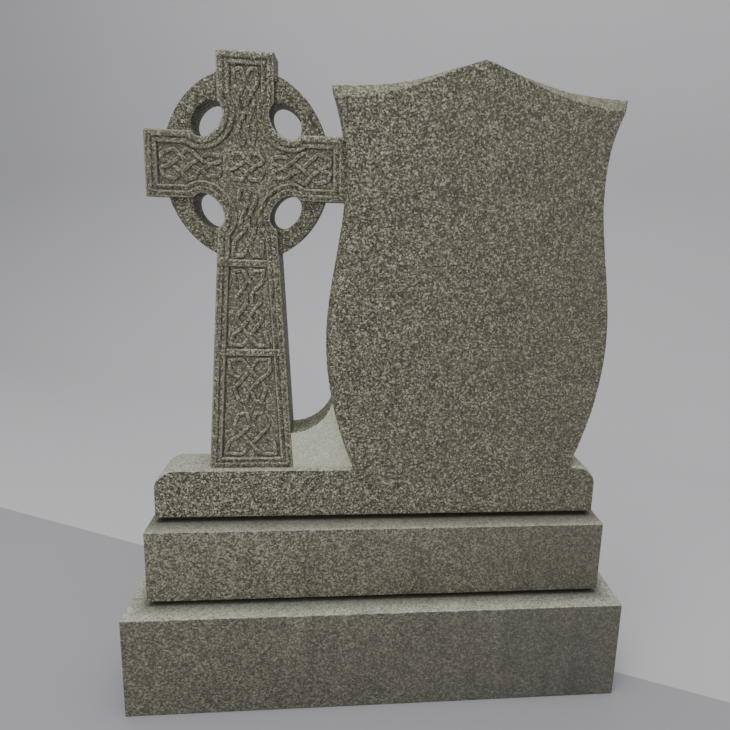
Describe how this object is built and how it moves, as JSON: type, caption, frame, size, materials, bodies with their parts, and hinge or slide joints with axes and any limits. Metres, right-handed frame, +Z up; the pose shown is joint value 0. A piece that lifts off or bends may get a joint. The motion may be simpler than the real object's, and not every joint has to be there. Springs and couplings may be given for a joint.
{
  "type": "celtic cross headstone",
  "caption": "Grey granite headstone: a ringed Celtic cross with woven relief beside a blank shield-shaped tablet, on two stepped bases.",
  "frame": {"origin": "on the ground under the middle of the lower base", "axes": "+Z up, the carved and blank faces look towards -Y, the cross is on the -X side and the tablet on the +X side"},
  "size_m": [1.22, 0.28, 1.545],
  "materials": {
    "headstone_granite": "speckled grey granite, dark honed faces, pale rubbed edges",
    "upper_base_granite": "speckled grey granite, fine sawn and rubbed",
    "lower_base_granite": "speckled grey granite, fine sawn and rubbed"
  },
  "bodies": {
    "root": {"headstone": "headstone_granite", "upper_base": "upper_base_granite", "lower_base": "lower_base_granite"}
  },
  "joints": []
}
